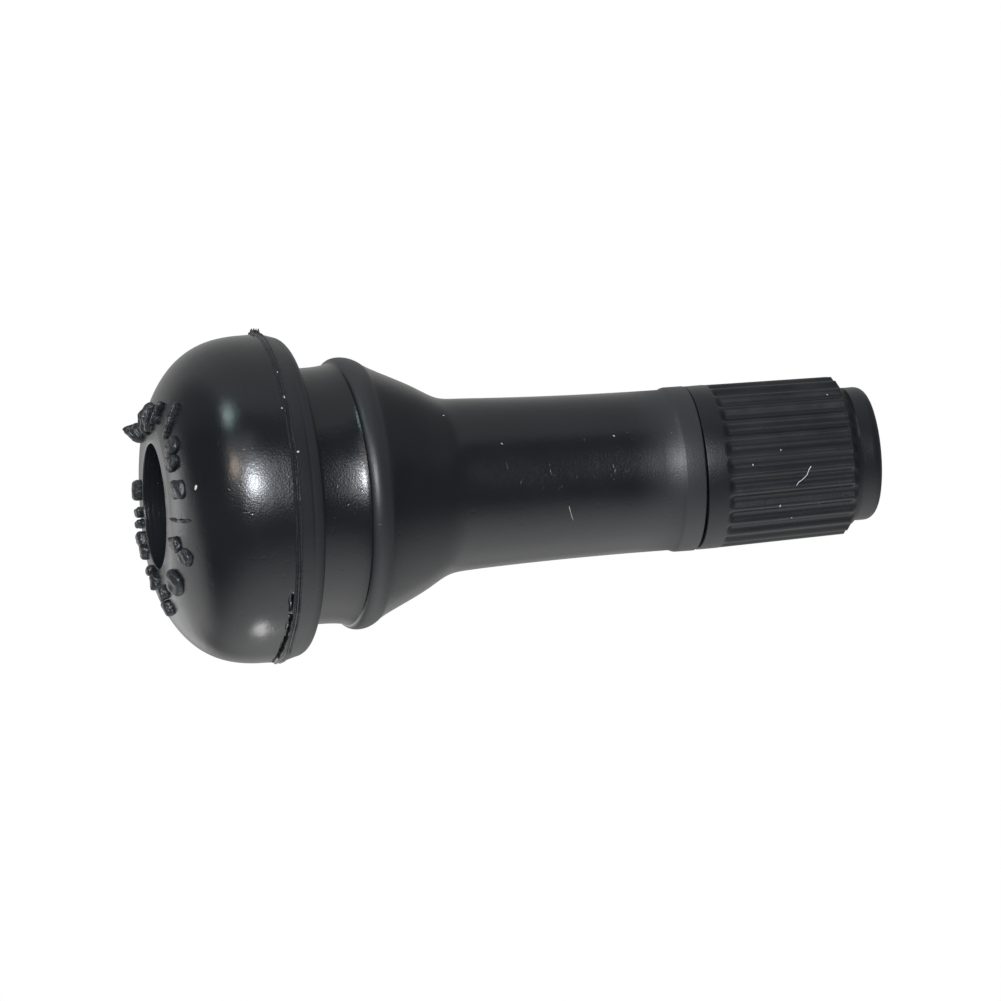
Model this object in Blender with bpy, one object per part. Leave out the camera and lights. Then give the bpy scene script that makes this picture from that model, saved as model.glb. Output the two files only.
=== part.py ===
"""Snap-in rubber tyre valve, 42.5 mm long, for a rim hole of 11.5 mm, standing on its base with +Z up the stem.

A rubber body is moulded round a turned brass stem. A screwed-in core seals the stem: a plug that swivels on
its barrel, a gasket, and a sprung pin whose rubber-faced cup closes the barrel from below. A ribbed plastic
dust cap with a sealing ring screws on over the stem's mouth. Sizes are in millimetres.
"""

import math

import bmesh
import bpy
from mathutils import Matrix, Vector
from mathutils.geometry import interpolate_bezier

MM = 0.001

# Clearances
BOND_GAP = 0.05  # rubber to the brass it is moulded on
RUNNING_GAP = 0.08  # turning and sliding pieces
SEAT_GAP = 0.06  # faces that seal or rest on each other

# Rubber body: head
HEAD_RADIUS = 9.51
SEAM_HEIGHT = 6.6
FLASH_PROUD = 0.07
FACE_RADIUS = 4.8
DOME_SHOULDER = 3.0
DOME_BROW = 1.36
DOME_STEPS = 9
BASE_BORE_RADIUS = 3.6
BASE_BORE_ROUND = 0.2
SEAT_HEIGHT = 8.1
SEAT_CORNER = 0.75
BACK_TAPER = 0.21

# Rubber body: rim groove, bead and flare
GROOVE_RADIUS = 7.44
GROOVE_WIDTH = 2.4
GROOVE_FILLET = 0.3
BEAD_RADIUS = 7.9
BEAD_ROUND = 0.36
BEAD_WIDTH = 1.5
BEAD_FOOT_RADIUS = 7.33
BEAD_FLANK_DROP = 0.3
BEAD_STEP = 0.3
FLARE_LENGTH = 5.4
NECK_RADIUS = 5.03

# Rubber body: shaft and lip
SHAFT_RADIUS = 4.69
LIP_RADIUS = 4.81
LIP_WIDTH = 1.4
LIP_RAMP = 0.2
LIP_ROUND = 0.15
SLEEVE_TOP = 31.7

# Brass stem
FOOT_RADIUS = 4.3
FOOT_HEIGHT = 8.0
FOOT_THICKNESS = 1.6
FOOT_TAPER = 0.8
SHANK_RADIUS = 3.55
RING_PROUD = 0.3
RING_WIDTH = 0.8
RING_HEIGHT = 21.0
THREAD_RADIUS = 3.85
THREAD_RUN_OUT = 0.35
STEM_TOP = 39.8
MOUTH_BEVEL = 0.42
PASSAGE_RADIUS = 2.0
PASSAGE_BEVEL = 0.4
CONE_BOTTOM = 32.8
CONE_HEIGHT = 1.85
CONE_SPREAD = 0.5

# Core plug: screws into the stem and swivels on the barrel
PLUG_RADIUS = 2.6
PLUG_DEPTH = 5.05  # its lower end, below the stem's mouth
PLUG_THREAD_LENGTH = 3.0
TANG_LENGTH = 1.2
TANG_RADIUS = 2.3
TANG_WIDTH = 2.9
PLUG_BORE_RADIUS = 1.15
CRIMP_THICKNESS = 0.25

# Core barrel
BARREL_RADIUS = 1.45
BARREL_BORE_RADIUS = 1.1
BARREL_LENGTH = 10.75
NOSE_RADIUS = 1.0
NOSE_WIDTH = 0.2
NOSE_BEVEL = 0.25
ORIFICE_RADIUS = 0.72
SHELF_THICKNESS = 2.0
NECK_OUTER_RADIUS = 1.35
COLLAR_RADIUS = 1.8
COLLAR_THICKNESS = 0.45
GASKET_HEIGHT = 1.9
GASKET_FLANGE = 0.45

# Core pin, spring, cup and washer
PIN_RADIUS = 0.4
PIN_BELOW_MOUTH = 0.2
PIN_HEAD_RADIUS = 0.72
PIN_HEAD_HEIGHT = 0.5
PIN_COLLAR_RADIUS = 0.94
PIN_COLLAR_THICKNESS = 0.3
PIN_RIVET_RADIUS = 0.75
PIN_RIVET_THICKNESS = 0.35
SPRING_WIRE = 0.1
SPRING_LENGTH = 5.8
SPRING_TURNS = 8
WASHER_THICKNESS = 1.6
WASHER_RADIUS = 1.29
CUP_WALL = 0.2
CUP_FLOOR = 0.25
CUP_DEPTH = 0.9

# Dust cap and its sealing ring
CAP_GAP = 0.15
CAP_SKIRT_RADIUS = 4.75
CAP_SKIRT_LENGTH = 1.15
CAP_RIB_LENGTH = 7.4
CAP_RIB_COUNT = 28
CAP_RIB_DEPTH = 0.26
CAP_FIRST_RIB = 8.0  # degrees from -Y towards +X
CAP_RIB_TAPER = 0.14
CAP_SHOULDER = 0.65
CAP_TIP_RADIUS = 3.92
CAP_TIP_ROUND = 0.55
CAP_LENGTH = 10.65
CAP_TOP_WALL = 1.3
SEAL_WALL = 0.47  # plastic round the sealing ring
SEAL_BORE_RADIUS = 2.72

# Facets
BODY_FACETS = 40
STEM_FACETS = 32
CORE_FACETS = 24
PIN_FACETS = 12
FACETS_PER_RIB = 4

RUBBER = (0.022, 0.023, 0.025)
PLASTIC = (0.03, 0.031, 0.033)
BRASS = (0.66, 0.46, 0.2)
STEEL = (0.55, 0.56, 0.58)

bead_height = SEAT_HEIGHT + GROOVE_WIDTH
flare_height = bead_height + BEAD_WIDTH + BEAD_STEP
neck_height = flare_height + FLARE_LENGTH
lip_height = SLEEVE_TOP - LIP_WIDTH
cone_top = CONE_BOTTOM + CONE_HEIGHT
plug_bottom = STEM_TOP - PLUG_DEPTH
plug_top = plug_bottom + PLUG_THREAD_LENGTH + TANG_LENGTH
barrel_top = plug_bottom + CRIMP_THICKNESS + RUNNING_GAP + COLLAR_THICKNESS
barrel_bottom = barrel_top - BARREL_LENGTH
gasket_top = plug_bottom - SEAT_GAP
gasket_bottom = gasket_top - GASKET_HEIGHT
washer_top = barrel_bottom - SEAT_GAP
washer_bottom = washer_top - WASHER_THICKNESS
cup_bottom = washer_bottom - SEAT_GAP - CUP_FLOOR
spring_bottom = barrel_bottom + SHELF_THICKNESS + SEAT_GAP
spring_top = spring_bottom + SPRING_LENGTH
pin_top = STEM_TOP - PIN_BELOW_MOUTH
pin_hole_radius = PIN_RADIUS + RUNNING_GAP
cap_bottom = SLEEVE_TOP + CAP_GAP
cap_top = cap_bottom + CAP_LENGTH
cap_ceiling = cap_top - CAP_TOP_WALL
cap_bore_radius = THREAD_RADIUS + RUNNING_GAP
seal_pocket_radius = CAP_TIP_RADIUS - SEAL_WALL
seal_bottom = STEM_TOP + SEAT_GAP


def clear_scene():
    for old in list(bpy.data.objects):
        bpy.data.objects.remove(old)


def principled(name, colour, roughness, metallic=0.0):
    """A plain material with one Principled BSDF."""
    material = bpy.data.materials.new(name)
    material.use_nodes = True
    shader = material.node_tree.nodes["Principled BSDF"]
    shader.inputs["Base Color"].default_value = (*colour, 1)
    shader.inputs["Roughness"].default_value = roughness
    shader.inputs["Metallic"].default_value = metallic
    return material


def arc(centre, radius, start, end, steps):
    """Outline points on an arc; degrees turn from straight out towards straight up."""
    turns = [math.radians(start + (end - start) * step / steps) for step in range(steps + 1)]
    return [(centre[0] + radius * math.cos(turn), centre[1] + radius * math.sin(turn)) for turn in turns]


def sweep(start, first_handle, second_handle, end, steps):
    """Outline points on one Bezier curve."""
    knots = [Vector((*point, 0)) for point in (start, first_handle, second_handle, end)]
    return [(point.x, point.y) for point in interpolate_bezier(*knots, steps + 1)]


def shaded(name, mesh, material):
    """The finished bmesh as an object, smooth across its round faces and sharp at its edges."""
    bmesh.ops.recalc_face_normals(mesh, faces=mesh.faces)
    data = bpy.data.meshes.new(name)
    mesh.to_mesh(data)
    mesh.free()
    data.shade_smooth()
    data.set_sharp_from_angle(angle=math.radians(35))
    data.materials.append(material)
    piece = bpy.data.objects.new(name, data)
    bpy.context.collection.objects.link(piece)
    return piece


def spun(outline, facets):
    """A bmesh of the outline's (radius, height) points turned once round the valve's axis."""
    mesh = bmesh.new()
    points = [mesh.verts.new((radius * MM, 0, height * MM)) for radius, height in outline]
    pairs = list(zip(points, points[1:]))
    if outline[0][0] > 0:
        pairs.append((points[-1], points[0]))
    edges = [mesh.edges.new(pair) for pair in pairs]
    bmesh.ops.spin(
        mesh, geom=points + edges, cent=(0, 0, 0), axis=(0, 0, 1), angle=math.tau, steps=facets, use_merge=True
    )
    bmesh.ops.remove_doubles(mesh, verts=mesh.verts, dist=1e-7)
    return mesh


def turned(name, outline, facets, material):
    return shaded(name, spun(outline, facets), material)


def head_outline():
    """From the flat base face over the dome and the mould seam to the seat that bears on the rim."""
    dome_height = SEAM_HEIGHT - 2 * FLASH_PROUD
    points = []
    for step in range(DOME_STEPS + 1):
        turn = math.pi / 2 * step / DOME_STEPS
        reach = math.sin(turn) ** (2 / DOME_BROW)
        rise = 1 - math.cos(turn) ** (2 / DOME_SHOULDER)
        points.append((FACE_RADIUS + (HEAD_RADIUS - FACE_RADIUS) * reach, dome_height * rise))
    points.append((HEAD_RADIUS + FLASH_PROUD, SEAM_HEIGHT))
    points.append((HEAD_RADIUS, SEAM_HEIGHT + 2 * FLASH_PROUD))
    corner = (HEAD_RADIUS - BACK_TAPER - SEAT_CORNER, SEAT_HEIGHT - SEAT_CORNER)
    return points + arc(corner, SEAT_CORNER, 12, 90, 4)


def groove_and_bead_outline():
    """The groove that the rim's hole closes on, and the bead above it."""
    fillet = (GROOVE_RADIUS + GROOVE_FILLET, SEAT_HEIGHT + GROOVE_FILLET)
    crest = (BEAD_RADIUS - BEAD_ROUND, bead_height + 2 * BEAD_ROUND)
    return [
        *arc(fillet, GROOVE_FILLET, 270, 180, 2),
        (GROOVE_RADIUS, bead_height),
        *arc(crest, BEAD_ROUND, -60, 60, 3),
        (BEAD_RADIUS - BEAD_FLANK_DROP, bead_height + BEAD_WIDTH),
    ]


def flare_and_shaft_outline():
    """The flare down to the neck, the slightly tapering shaft and the lip at its top."""
    flare = sweep(
        (BEAD_FOOT_RADIUS, flare_height),
        (NECK_RADIUS + 0.53 * (BEAD_FOOT_RADIUS - NECK_RADIUS), flare_height + 0.54 * FLARE_LENGTH),
        (NECK_RADIUS + 0.04 * (BEAD_FOOT_RADIUS - NECK_RADIUS), flare_height + 0.8 * FLARE_LENGTH),
        (NECK_RADIUS, neck_height),
        6,
    )
    shaft_length = lip_height - neck_height
    shaft = sweep(
        (NECK_RADIUS, neck_height),
        (SHAFT_RADIUS + 0.3 * (NECK_RADIUS - SHAFT_RADIUS), neck_height + 0.22 * shaft_length),
        (SHAFT_RADIUS, neck_height + 0.5 * shaft_length),
        (SHAFT_RADIUS, lip_height),
        3,
    )
    lip = [
        (LIP_RADIUS, lip_height + LIP_RAMP),
        (LIP_RADIUS, SLEEVE_TOP - LIP_ROUND),
        (LIP_RADIUS - LIP_ROUND, SLEEVE_TOP),
    ]
    return flare + shaft[1:] + lip


def shank_outline(grow):
    """The brass that the rubber grips, from the foot up, or with grow the hole it leaves in the rubber."""
    foot_top = FOOT_HEIGHT + FOOT_THICKNESS
    return [
        (FOOT_RADIUS + grow, FOOT_HEIGHT - grow),
        (FOOT_RADIUS + grow, foot_top),
        (SHANK_RADIUS + grow, foot_top + FOOT_TAPER),
        (SHANK_RADIUS + grow, RING_HEIGHT - RING_WIDTH),
        (SHANK_RADIUS + RING_PROUD + grow, RING_HEIGHT - RING_WIDTH / 2),
        (SHANK_RADIUS + RING_PROUD + grow, RING_HEIGHT + RING_WIDTH / 2),
        (SHANK_RADIUS + grow, RING_HEIGHT + RING_WIDTH),
        (SHANK_RADIUS + grow, SLEEVE_TOP),
    ]


def make_rubber_body(material):
    hole = list(reversed(shank_outline(BOND_GAP)))
    base_bore = [
        (BASE_BORE_RADIUS, FOOT_HEIGHT - BOND_GAP),
        *arc((BASE_BORE_RADIUS + BASE_BORE_ROUND, BASE_BORE_ROUND), BASE_BORE_ROUND, 180, 270, 2),
    ]
    outline = head_outline() + groove_and_bead_outline() + flare_and_shaft_outline() + hole + base_bore
    return turned("rubber_body", outline, BODY_FACETS, material)


def make_brass_stem(material):
    bore_radius = PLUG_RADIUS + RUNNING_GAP
    outline = shank_outline(0) + [
        (SHANK_RADIUS, SLEEVE_TOP + THREAD_RUN_OUT / 2),
        (THREAD_RADIUS, SLEEVE_TOP + THREAD_RUN_OUT),
        (THREAD_RADIUS, STEM_TOP - MOUTH_BEVEL),
        (THREAD_RADIUS - MOUTH_BEVEL, STEM_TOP),
        (bore_radius + MOUTH_BEVEL / 2, STEM_TOP),
        (bore_radius, STEM_TOP - MOUTH_BEVEL / 2),
        (bore_radius, cone_top),
        (PASSAGE_RADIUS + CONE_SPREAD, cone_top),
        (PASSAGE_RADIUS, CONE_BOTTOM),
        (PASSAGE_RADIUS, FOOT_HEIGHT + PASSAGE_BEVEL),
        (PASSAGE_RADIUS + PASSAGE_BEVEL, FOOT_HEIGHT),
    ]
    return turned("brass_stem", outline, STEM_FACETS, material)


def make_core_plug(material):
    """The threaded plug, crimped over the barrel's collar, with two flats for the core key."""
    recess_radius = COLLAR_RADIUS + RUNNING_GAP
    recess_bottom = plug_bottom + CRIMP_THICKNESS
    recess_top = recess_bottom + COLLAR_THICKNESS + 2 * RUNNING_GAP
    tang_bottom = plug_bottom + PLUG_THREAD_LENGTH
    outline = [
        (NECK_OUTER_RADIUS + RUNNING_GAP, plug_bottom),
        (PLUG_RADIUS - RUNNING_GAP, plug_bottom),
        (PLUG_RADIUS, plug_bottom + CRIMP_THICKNESS),
        (PLUG_RADIUS, tang_bottom),
        (TANG_RADIUS, tang_bottom),
        (TANG_RADIUS, plug_top),
        (PLUG_BORE_RADIUS, plug_top),
        (PLUG_BORE_RADIUS, recess_top),
        (recess_radius, recess_top),
        (recess_radius, recess_bottom),
        (NECK_OUTER_RADIUS + RUNNING_GAP, recess_bottom),
    ]
    mesh = spun(outline, CORE_FACETS)
    flat = TANG_WIDTH / 2 * MM
    tang_edge = (tang_bottom - CRIMP_THICKNESS) * MM
    for vertex in mesh.verts:
        on_tang = vertex.co.xy.length < (TANG_RADIUS + RUNNING_GAP) * MM and vertex.co.z > tang_edge
        if on_tang:
            vertex.co.x = max(-flat, min(flat, vertex.co.x))
    return shaded("core_plug", mesh, material)


def make_core_barrel(material):
    """The tube that the spring sits in, with the nose that the washer closes on and the plug's collar."""
    flange_radius = PASSAGE_RADIUS - 2 * RUNNING_GAP
    flange_top = gasket_bottom - SEAT_GAP
    flange_bottom = flange_top - GASKET_FLANGE
    shelf = barrel_bottom + SHELF_THICKNESS
    outline = [
        (NOSE_RADIUS, barrel_bottom),
        (NOSE_RADIUS + NOSE_WIDTH, barrel_bottom),
        (BARREL_RADIUS, barrel_bottom + NOSE_BEVEL),
        (BARREL_RADIUS, flange_bottom - NOSE_BEVEL),
        (flange_radius, flange_bottom),
        (flange_radius, flange_top),
        (NECK_OUTER_RADIUS, flange_top),
        (NECK_OUTER_RADIUS, barrel_top - COLLAR_THICKNESS),
        (COLLAR_RADIUS, barrel_top - COLLAR_THICKNESS),
        (COLLAR_RADIUS, barrel_top),
        (BARREL_BORE_RADIUS, barrel_top),
        (BARREL_BORE_RADIUS, shelf),
        (ORIFICE_RADIUS, shelf),
        (ORIFICE_RADIUS, barrel_bottom + NOSE_BEVEL),
    ]
    return turned("core_barrel", outline, CORE_FACETS, material)


def make_barrel_gasket(material):
    """The tapered ring that seals the barrel against the stem's inner cone."""
    inner = NECK_OUTER_RADIUS + SEAT_GAP
    slope = CONE_SPREAD / CONE_HEIGHT
    top_radius = PASSAGE_RADIUS + slope * (gasket_top - CONE_BOTTOM) - SEAT_GAP
    low_radius = PASSAGE_RADIUS - SEAT_GAP
    outline = [
        (inner, gasket_bottom),
        (low_radius - SEAT_GAP, gasket_bottom),
        (low_radius, gasket_bottom + SEAT_GAP),
        (low_radius, max(CONE_BOTTOM, gasket_bottom + 2 * SEAT_GAP)),
        (top_radius, gasket_top),
        (inner, gasket_top),
    ]
    return turned("barrel_gasket", outline, CORE_FACETS, material)


def make_core_pin(material):
    """The pin: a head that a pump presses, a collar that the spring lifts, and a rivet under the cup."""
    rivet_top = cup_bottom - SEAT_GAP
    outline = [
        (0, rivet_top - PIN_RIVET_THICKNESS),
        (PIN_RIVET_RADIUS * 0.7, rivet_top - PIN_RIVET_THICKNESS),
        (PIN_RIVET_RADIUS, rivet_top),
        (PIN_RADIUS, rivet_top),
        (PIN_RADIUS, spring_top + SEAT_GAP),
        (PIN_COLLAR_RADIUS, spring_top + SEAT_GAP),
        (PIN_COLLAR_RADIUS, spring_top + SEAT_GAP + PIN_COLLAR_THICKNESS),
        (PIN_RADIUS, spring_top + SEAT_GAP + 2 * PIN_COLLAR_THICKNESS),
        (PIN_RADIUS, pin_top - PIN_HEAD_HEIGHT - 2 * PIN_RADIUS),
        (PIN_HEAD_RADIUS, pin_top - PIN_HEAD_HEIGHT),
        (PIN_HEAD_RADIUS, pin_top - PIN_HEAD_HEIGHT / 3),
        (PIN_HEAD_RADIUS * 0.6, pin_top),
        (0, pin_top),
    ]
    return turned("core_pin", outline, PIN_FACETS, material)


def make_seat_cup(material):
    inside = WASHER_RADIUS + SEAT_GAP
    outline = [
        (pin_hole_radius, cup_bottom),
        (inside, cup_bottom),
        (inside + CUP_WALL, cup_bottom + CUP_WALL),
        (inside + CUP_WALL, cup_bottom + CUP_FLOOR + CUP_DEPTH),
        (inside, cup_bottom + CUP_FLOOR + CUP_DEPTH),
        (inside, cup_bottom + CUP_FLOOR),
        (pin_hole_radius, cup_bottom + CUP_FLOOR),
    ]
    return turned("seat_cup", outline, CORE_FACETS, material)


def make_seat_washer(material):
    outline = [
        (pin_hole_radius, washer_bottom),
        (WASHER_RADIUS, washer_bottom),
        (WASHER_RADIUS, washer_top),
        (pin_hole_radius, washer_top),
    ]
    return turned("seat_washer", outline, CORE_FACETS, material)


def make_core_spring(material):
    """A coil spring round the pin, with its end turns wound close."""
    coil_radius = (BARREL_BORE_RADIUS + PIN_RADIUS) / 2 + SPRING_WIRE / 2
    low = spring_bottom + SPRING_WIRE
    high = spring_top - SPRING_WIRE
    steps_per_turn = 11
    count = SPRING_TURNS * steps_per_turn
    curve = bpy.data.curves.new("core_spring", "CURVE")
    curve.dimensions = "3D"
    wire = curve.splines.new("POLY")
    wire.points.add(count)
    end_turns = 2.2 * SPRING_WIRE
    for step, point in enumerate(wire.points):
        turns = step / steps_per_turn
        from_end = min(turns, SPRING_TURNS - turns)
        free_rise = (high - low) / 2 - end_turns
        share = max(0, (from_end - 1) / (SPRING_TURNS / 2 - 1))
        rise = end_turns * min(1, from_end) + free_rise * share
        height = low + rise if turns <= SPRING_TURNS / 2 else high - rise
        turn = math.tau * turns
        point.co = (coil_radius * math.cos(turn) * MM, coil_radius * math.sin(turn) * MM, height * MM, 1)
    curve.bevel_depth = SPRING_WIRE * MM
    curve.bevel_resolution = 1
    curve.use_fill_caps = True
    curve.materials.append(material)
    piece = bpy.data.objects.new("core_spring", curve)
    bpy.context.collection.objects.link(piece)
    return piece


def make_cap_seal(material):
    outer = seal_pocket_radius - SEAT_GAP
    top = cap_ceiling - SEAT_GAP
    outline = [(SEAL_BORE_RADIUS, seal_bottom), (outer, seal_bottom), (outer, top), (SEAL_BORE_RADIUS, top)]
    return turned("cap_seal", outline, STEM_FACETS, material)


def cap_outline():
    rib_bottom = cap_bottom + CAP_SKIRT_LENGTH
    rib_top = rib_bottom + CAP_RIB_LENGTH
    top_radius = CAP_SKIRT_RADIUS - CAP_RIB_TAPER
    edge = CAP_RIB_DEPTH / 2
    tip = (CAP_TIP_RADIUS - CAP_TIP_ROUND, cap_top - CAP_TIP_ROUND)
    return [
        (0, cap_top),
        *reversed(arc(tip, CAP_TIP_ROUND, 0, 90, 2)),
        (CAP_TIP_RADIUS, rib_top + CAP_SHOULDER),
        (top_radius, rib_top),
        (CAP_SKIRT_RADIUS, rib_bottom + CAP_RIB_DEPTH),
        (CAP_SKIRT_RADIUS, rib_bottom),
        (CAP_SKIRT_RADIUS, cap_bottom + edge),
        (CAP_SKIRT_RADIUS - edge, cap_bottom),
        (cap_bore_radius + edge, cap_bottom),
        (cap_bore_radius, cap_bottom + edge),
        (cap_bore_radius, seal_bottom),
        (seal_pocket_radius, seal_bottom + SEAT_GAP),
        (seal_pocket_radius, cap_ceiling),
        (0, cap_ceiling),
    ]


def make_dust_cap(material):
    """The moulded cap: turned, then its finger grooves pressed in between the ribs."""
    mesh = spun(cap_outline(), CAP_RIB_COUNT * FACETS_PER_RIB)
    half_facet = 180 / (CAP_RIB_COUNT * FACETS_PER_RIB)
    first_turn = Matrix.Rotation(math.radians(CAP_FIRST_RIB + half_facet - 90), 3, "Z")
    bmesh.ops.rotate(mesh, verts=mesh.verts, cent=(0, 0, 0), matrix=first_turn)
    groove_bottom = cap_bottom + CAP_SKIRT_LENGTH + CAP_RIB_DEPTH / 2
    groove_top = cap_bottom + CAP_SKIRT_LENGTH + CAP_RIB_LENGTH + CAP_SHOULDER / 2
    outside = (cap_bore_radius + CAP_SKIRT_RADIUS) / 2 * MM
    for vertex in mesh.verts:
        radius = vertex.co.xy.length
        if radius < outside or not groove_bottom * MM < vertex.co.z < groove_top * MM:
            continue
        turn = math.degrees(math.atan2(vertex.co.x, -vertex.co.y)) - CAP_FIRST_RIB
        ribs = turn * CAP_RIB_COUNT / 360
        if abs(ribs - round(ribs)) > 0.25:
            vertex.co.xy *= (radius - CAP_RIB_DEPTH * MM) / radius
    return shaded("dust_cap", mesh, material)


def on_axis(name, height, pieces):
    """Parents pieces that move together to an empty on the valve's axis."""
    axis = bpy.data.objects.new(name, None)
    axis.location.z = height * MM
    bpy.context.collection.objects.link(axis)
    for piece in pieces:
        piece.parent = axis
        piece.location.z = -height * MM


def main():
    clear_scene()
    rubber = principled("rubber", RUBBER, 0.42)
    plastic = principled("plastic", PLASTIC, 0.5)
    brass = principled("brass", BRASS, 0.3, 1.0)
    steel = principled("spring_steel", STEEL, 0.3, 1.0)
    make_rubber_body(rubber)
    make_brass_stem(brass)
    barrel = [make_core_barrel(brass), make_barrel_gasket(rubber), make_core_spring(steel)]
    pin = [make_core_pin(brass), make_seat_cup(brass), make_seat_washer(rubber)]
    on_axis("plug_axis", plug_bottom, [make_core_plug(brass)])
    on_axis("barrel_axis", barrel_bottom, barrel)
    on_axis("pin_axis", pin_top, pin)
    on_axis("cap_axis", cap_bottom, [make_dust_cap(plastic), make_cap_seal(rubber)])


main()
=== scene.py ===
# %% [markdown]
# # A snap-in tyre valve
#
# The valve is a black rubber body moulded round a turned brass stem, with a ribbed plastic dust cap screwed
# on over the stem's mouth. Almost all of it is round, so most pieces here are one outline, spun once round
# the valve's axis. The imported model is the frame: it says where every piece is and how it moves, and this
# script dresses it. Sizes are in millimetres, and MM turns them into Blender's metres.

# %% Load the frame
import math

import bmesh
import bpy
from mathutils import Matrix, Vector, noise
from mathutils.geometry import interpolate_bezier


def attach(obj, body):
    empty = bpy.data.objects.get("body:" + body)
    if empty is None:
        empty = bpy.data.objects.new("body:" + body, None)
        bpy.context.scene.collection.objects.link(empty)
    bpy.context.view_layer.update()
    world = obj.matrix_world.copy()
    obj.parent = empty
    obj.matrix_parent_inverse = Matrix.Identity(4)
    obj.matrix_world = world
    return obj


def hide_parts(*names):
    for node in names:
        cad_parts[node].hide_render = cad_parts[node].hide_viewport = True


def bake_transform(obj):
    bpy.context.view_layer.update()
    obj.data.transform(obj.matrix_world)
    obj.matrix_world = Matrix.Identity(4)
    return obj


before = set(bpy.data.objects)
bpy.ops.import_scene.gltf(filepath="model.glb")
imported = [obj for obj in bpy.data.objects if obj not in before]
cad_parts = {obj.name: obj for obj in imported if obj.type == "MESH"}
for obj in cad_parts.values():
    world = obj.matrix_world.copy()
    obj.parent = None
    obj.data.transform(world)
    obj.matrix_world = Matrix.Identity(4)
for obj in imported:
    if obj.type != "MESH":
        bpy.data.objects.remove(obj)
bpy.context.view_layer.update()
MM = 0.001

# %% [markdown]
# ## The camera
#
# The photograph looks at the side of the valve with the head a little nearer, so that the flat face round
# the base hole just shows. The valve lies across the picture and rises slightly to the right. The camera is
# therefore built from three directions: where it looks, which way is right in the picture, and which is up.
# A long lens far away keeps the sides parallel, as they are in the photograph.

# %% Place the camera
VIEW_TILT = math.radians(12)  # how far the head's face turns towards the camera
PICTURE_ROLL = math.radians(4.08)  # how far the stem rises to the right
CAMERA_DISTANCE = 0.6
CAMERA_TARGET = Vector((1.10, 0, 20.41)) * MM
CAMERA_LENS = 371

looking = Vector((0, math.cos(VIEW_TILT), math.sin(VIEW_TILT)))
along = Vector((0, -math.sin(VIEW_TILT), math.cos(VIEW_TILT)))
across = Vector((-1, 0, 0))
picture_right = math.cos(PICTURE_ROLL) * along - math.sin(PICTURE_ROLL) * across
picture_up = math.sin(PICTURE_ROLL) * along + math.cos(PICTURE_ROLL) * across

lens = bpy.data.cameras.new("camera")
lens.lens = CAMERA_LENS
lens.clip_start, lens.clip_end = 0.01, 20
camera = bpy.data.objects.new("camera", lens)
bpy.context.collection.objects.link(camera)
turn = Matrix((picture_right, picture_up, -looking)).transposed()
camera.matrix_world = Matrix.Translation(CAMERA_TARGET - CAMERA_DISTANCE * looking) @ turn.to_4x4()
bpy.context.scene.camera = camera
print("camera at", [round(value, 4) for value in camera.location])

# %% [markdown]
# ## Helpers for round pieces
#
# A lathe makes a round piece from one outline, and so does Blender's spin operator. `outline_mesh` places
# the outline's corners, each a (radius, height) pair, and rounds those that carry a third number with a
# small bevel. `spin_round` turns it once round the axis. `finished` makes the object, shades it smooth
# except where faces meet at an edge, and hands it to the body that it moves with.

# %% Outlines, spins and finished pieces
def outline_mesh(corners, closed=True):
    """A bmesh with an outline of (radius, height) corners in mm; a third number rounds the corner."""
    mesh = bmesh.new()
    points = [mesh.verts.new((corner[0] * MM, 0, corner[1] * MM)) for corner in corners]
    pairs = list(zip(points, points[1:])) + ([(points[-1], points[0])] if closed else [])
    for pair in pairs:
        mesh.edges.new(pair)
    for point, corner in zip(points, corners):
        if len(corner) > 2:
            bmesh.ops.bevel(
                mesh,
                geom=[point],
                affect="VERTICES",
                offset=corner[2] * MM,
                segments=5,
                profile=0.5,
                material=-1,
            )
    return mesh


def spin_round(mesh, facets):
    """Turns an outline once round the valve's axis and makes its faces point outwards."""
    bmesh.ops.spin(
        mesh,
        geom=mesh.verts[:] + mesh.edges[:],
        cent=(0, 0, 0),
        axis=(0, 0, 1),
        angle=math.tau,
        steps=facets,
        use_merge=True,
    )
    bmesh.ops.remove_doubles(mesh, verts=mesh.verts, dist=1e-7)
    bmesh.ops.recalc_face_normals(mesh, faces=mesh.faces)
    return mesh


def finished(name, mesh, body, material, instead_of=(), sharp=35):
    """The bmesh as an object that rides on a body and stands for the CAD nodes it replaces."""
    data = bpy.data.meshes.new(name)
    mesh.to_mesh(data)
    mesh.free()
    data.shade_smooth()
    data.set_sharp_from_angle(angle=math.radians(sharp))
    data.materials.append(material)
    piece = bpy.data.objects.new(name, data)
    bpy.context.collection.objects.link(piece)
    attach(piece, body)
    if instead_of:
        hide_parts(*instead_of)
    print(f"{name}: {len(data.polygons)} faces")
    return piece


def arc(centre, radius, start, end, steps):
    """Outline corners on an arc; degrees turn from straight out towards straight up."""
    turns = [math.radians(start + (end - start) * step / steps) for step in range(steps + 1)]
    return [(centre[0] + radius * math.cos(turn), centre[1] + radius * math.sin(turn)) for turn in turns]


def sweep(start, first_handle, second_handle, end, steps):
    """Outline corners on one Bezier curve."""
    knots = [Vector((*point, 0)) for point in (start, first_handle, second_handle, end)]
    return [(point.x, point.y) for point in interpolate_bezier(*knots, steps + 1)]


def facing(degrees):
    """The direction out from the axis, counted from the camera's side towards the picture's lower edge."""
    turn = math.radians(degrees)
    return Vector((math.sin(turn), -math.cos(turn), 0))


def step_up(value, low, high):
    """0 below low, 1 above high, and a smooth rise between them."""
    share = min(1, max(0, (value - low) / (high - low)))
    return share * share * (3 - 2 * share)


# %% [markdown]
# ## Helpers for finishes
#
# A material is a small program: numbers flow along sockets. `Signal` wraps one socket, so that a sum such as
# `1 - mask * 0.3` in Python adds the Math nodes by itself. `Finish` is one material with a Principled
# shader. Its `node` method adds any other node: first its settings, then the values or links of its inputs.

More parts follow.
